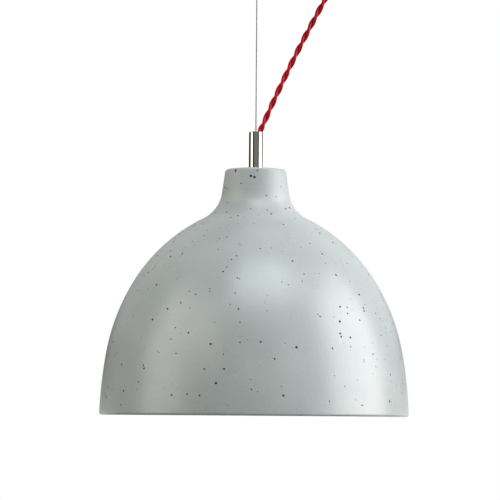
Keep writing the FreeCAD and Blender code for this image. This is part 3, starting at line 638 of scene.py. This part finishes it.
def braided_textile():
    """Rayon braid: bundles of thread that cross over and under, with painted shade between the bundles and
    their tops lighter.
    """
    material, tree, shader = start_material("braided_rayon", Specular_IOR_Level=0.2, Roughness=0.6)
    place = add(tree, "UVMap", uv_map="UVMap").outputs["UV"]
    parts = add(tree, "SeparateXYZ", {"Vector": place}).outputs
    bundles = []
    for sign in ("ADD", "SUBTRACT"):
        slant = add(tree, "Math", {0: parts["X"], 1: parts["Y"]}, operation=sign).outputs["Value"]
        wave = add(tree, "Math", {0: slant, 1: math.pi}, operation="MULTIPLY").outputs["Value"]
        sine = add(tree, "Math", {0: wave}, operation="SINE").outputs["Value"]
        bundles.append(add(tree, "Math", {0: sine}, operation="ABSOLUTE").outputs["Value"])
    weave = add(tree, "Math", {0: bundles[0], 1: bundles[1]}, operation="MULTIPLY").outputs["Value"]
    point = add(tree, "TexCoord").outputs["Object"]
    fibre = add(tree, "TexNoise", {"Vector": point, "Scale": 1 / (0.12 * MM), "Detail": 2.0})
    # painted shade: the red is darker between the bundles, where the braid's crevices lie in shade, and
    # lighter on their tops
    dye_and_painted_shade = add(tree, "ValToRGB", {"Fac": weave}, [(0.05, "#bd111f"), (0.75, "#df1f2e")])
    sheen = add(tree, "ValToRGB", {"Fac": fibre.outputs["Fac"]}, [(LEAST, "#e8e4e4"), (MOST, "#ffffff")])
    colour = add(tree, "Mix", {"Factor": 1.0, "A": dye_and_painted_shade.outputs["Color"], "B": sheen.outputs["Color"]},
                 data_type="RGBA", blend_type="MULTIPLY")
    tree.links.new(colour.outputs["Result"], shader.inputs["Base Color"])
    bump = add(tree, "Bump", {"Height": weave, "Distance": 0.05 * MM, "Strength": 1.0})
    tree.links.new(bump.outputs["Normal"], shader.inputs["Normal"])
    return material


def plain(name, low, high, size, roughness, bump=0.01, **constants):
    """A moulded or metal surface that varies gently at one scale in tone, gloss and height."""
    material, tree, shader = start_material(name, **constants)
    point = add(tree, "TexCoord").outputs["Object"]
    texture = add(tree, "TexNoise", {"Vector": point, "Scale": 1 / size, "Detail": 3.0}).outputs["Fac"]
    colour = add(tree, "ValToRGB", {"Fac": texture}, [(LEAST, low), (MOST, high)])
    tree.links.new(colour.outputs["Color"], shader.inputs["Base Color"])
    rough = add(tree, "MapRange", {"Value": texture, "From Min": LEAST, "From Max": MOST,
                                   "To Min": roughness[0], "To Max": roughness[1]})
    tree.links.new(rough.outputs["Result"], shader.inputs["Roughness"])
    relief = add(tree, "Bump", {"Height": texture, "Distance": bump * MM, "Strength": 1.0})
    tree.links.new(relief.outputs["Normal"], shader.inputs["Normal"])
    return material


CONCRETE = sealed_concrete()
PORE_SHADE_PAINT = pore_painted_shade()
POLISHED = polished_stainless()
BRUSHED = brushed_stainless()
ZINC = zinc_plate()
ROPE = rope_steel()
BRAID = braided_textile()
INSULATION = plain("extruded_silicone_sleeve", "#9c1218", "#b01a20", 3 * MM, (0.42, 0.52))
RUBBER = plain("moulded_rubber", "#171718", "#232324", 0.8 * MM, (0.7, 0.82), 0.02)
BLACK_MOULDING = plain("moulded_thermoplastic_black", "#131314", "#1b1b1c", 0.6 * MM, (0.36, 0.46), 0.01)
WHITE_MOULDING = plain("moulded_nylon_white", "#dfddd5", "#eceae3", 1.2 * MM, (0.4, 0.5), 0.01)
PORCELAIN = plain("glazed_steatite", "#e2ddd0", "#efebe0", 2.5 * MM, (0.14, 0.24), 0.01, Coat_Weight=0.5)
BRASS = plain("pressed_brass", "#b88d45", "#cfa55a", 1.5 * MM, (0.22, 0.36), 0.006, Metallic=1.0)
ALUMINIUM = plain("rolled_aluminium", "#b9bbbd", "#cccecf", 1.0 * MM, (0.3, 0.42), 0.01, Metallic=1.0)
OPAL = plain("inside_frosted_glass", "#f1efe9", "#faf9f5", 6 * MM, (0.42, 0.5), 0.004,
             Transmission_Weight=0.55, IOR=1.5)
STEM_GLASS = plain("drawn_lead_glass", "#e9efef", "#f6fafa", 5 * MM, (0.03, 0.08), 0.004,
                   Transmission_Weight=0.95, IOR=1.54)
BLACK_GLASS = plain("fused_black_glass", "#0c0c0e", "#15151a", 1.5 * MM, (0.08, 0.16), 0.01)
SOLDER = plain("dull_solder", "#8b8d90", "#a9abad", 0.9 * MM, (0.4, 0.55), 0.03, Metallic=1.0)
TUNGSTEN = plain("drawn_tungsten", "#4a4a4f", "#606066", 0.3 * MM, (0.35, 0.5), 0.002, Metallic=1.0)

NODE_MATERIALS = {
    POLISHED: ["steel_tube", "suspension_link", "wire_eye_terminal", "eye_bolt", "canopy_ring_nut"],
    BRUSHED: ["canopy", "gland_body", "gland_cap"],
    ZINC: ["ceiling_bracket", "bracket_nut", "gland_lock_nut", "terminal_block_screw", "steel_washer",
           "shade_nut", "wire_anchor_disc", "holder_terminal_screws"],
    INSULATION: ["flex_tails", "inner_cores"],
    RUBBER: ["gland_seal", "rubber_washer"],
    BLACK_MOULDING: ["holder_cap", "holder_skirt"],
    WHITE_MOULDING: ["terminal_block"],
    PORCELAIN: ["holder_base"],
    BRASS: ["terminal_screws", "holder_terminals", "screw_shell", "centre_contact"],
    ALUMINIUM: ["wire_stop", "bulb_cap"],
    OPAL: ["bulb_glass"],
    STEM_GLASS: ["bulb_stem"],
    BLACK_GLASS: ["bulb_insulator"],
    SOLDER: ["bulb_contact"],
    TUNGSTEN: ["bulb_filament", "bulb_lead_wires"],
}


def paint(piece, material):
    piece.data.materials.clear()
    piece.data.materials.append(material)


for material, names in NODE_MATERIALS.items():
    for name in names:
        paint(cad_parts[name], material)
paint(flex, BRAID)
paint(wire, ROPE)
make_shade()


# ---- studio ----------------------------------------------------------------------------------

# Softboxes and fills far from the lamp. Azimuth runs from the camera's side towards +X, elevation
# from the horizon, in degrees, each with the half-width of its soft edge; then strength and tint.
SOFTBOXES = [
    ((60, 110, 6), (-10, 45, 10), 5.7, "#fffeff"),
    ((-90, -55, 6), (-5, 45, 10), 2.7, "#fffbf2"),
    ((-30, 55, 8), (50, 76, 3), 5.1, "#e8f3ff"),
    ((-53, -30, 5), (16, 45, 6), 2.2, "#fffaea"),
    ((-30, 40, 6), (-25, 16, 8), 0.22, "#ffffff"),
    ((-200, -130, 12), (9, 52, 5), 0.4, "#ffffff"),
    ((130, 200, 12), (9, 52, 5), 0.6, "#ffffff"),
    ((-200, -125, 10), (-18, 1, 2), 0.95, "#ffffff"),
    ((125, 200, 10), (-18, 1, 2), 0.95, "#ffffff"),
    ((-200, 200, 1), (80, 120, 4), 0.8, "#ffffff"),
]
FLOOR_DROP = 1.6  # below the rim
FLOOR_RADIUS = 1.0
FLOOR_CORNERS = 96


def window(tree, value, low, high, soft):
    """One inside a range of degrees, falling smoothly to nothing at its two edges."""
    rise = add(tree, "MapRange", {"Value": value, "From Min": math.radians(low - soft),
                                  "From Max": math.radians(low + soft)}, interpolation_type="SMOOTHSTEP")
    fall = add(tree, "MapRange", {"Value": value, "From Min": math.radians(high + soft),
                                  "From Max": math.radians(high - soft)}, interpolation_type="SMOOTHSTEP")
    return add(tree, "Math", {0: rise.outputs["Result"], 1: fall.outputs["Result"]},
               operation="MULTIPLY").outputs["Value"]


def make_world():
    """White behind the lamp for the camera; softboxes in a dark room for light and reflections."""
    world = bpy.data.worlds.new("studio")
    bpy.context.scene.world = world
    world.use_nodes = True
    tree = world.node_tree
    tree.nodes.clear()
    way = add(tree, "SeparateXYZ", {"Vector": add(tree, "TexCoord").outputs["Generated"]}).outputs
    front = add(tree, "Math", {0: way["Y"], 1: -1.0}, operation="MULTIPLY").outputs["Value"]
    azimuth = add(tree, "Math", {0: way["X"], 1: front}, operation="ARCTAN2").outputs["Value"]
    elevation = add(tree, "Math", {0: way["Z"]}, operation="ARCSINE").outputs["Value"]
    total = None
    for (left, right, soft_sides), (low, high, soft_ends), strength, tint in SOFTBOXES:
        across = window(tree, azimuth, left, right, soft_sides)
        shape = add(tree, "Math", {0: across, 1: window(tree, elevation, low, high, soft_ends)},
                    operation="MULTIPLY").outputs["Value"]
        light = [strength * part for part in linear(tint)[:3]]
        glow = add(tree, "VectorMath", {0: light, "Scale": shape}, operation="SCALE").outputs["Vector"]
        total = glow if total is None else add(tree, "VectorMath", {0: total, 1: glow},
                                               operation="ADD").outputs["Vector"]
    around = add(tree, "Background", {"Color": total})
    backdrop = add(tree, "Background", {"Color": (1, 1, 1, 1)})
    seen = add(tree, "LightPath").outputs["Is Camera Ray"]
    mix = add(tree, "MixShader", {"Fac": seen, 1: around.outputs[0], 2: backdrop.outputs[0]})
    add(tree, "OutputWorld", {"Surface": mix.outputs[0]})


def make_floor():
    bm = bmesh.new()
    bmesh.ops.create_circle(bm, cap_ends=True, segments=FLOOR_CORNERS, radius=FLOOR_RADIUS,
                            matrix=Matrix.Translation((0, 0, RIM_HEIGHT - FLOOR_DROP)))
    floor = mesh_object("floor", bm, smooth=False)
    paint(floor, plain("painted_floor", "#e4e4e2", "#e9e9e7", 80 * MM, (0.6, 0.7)))


make_floor()
make_world()
bpy.context.scene.view_settings.view_transform = "Standard"
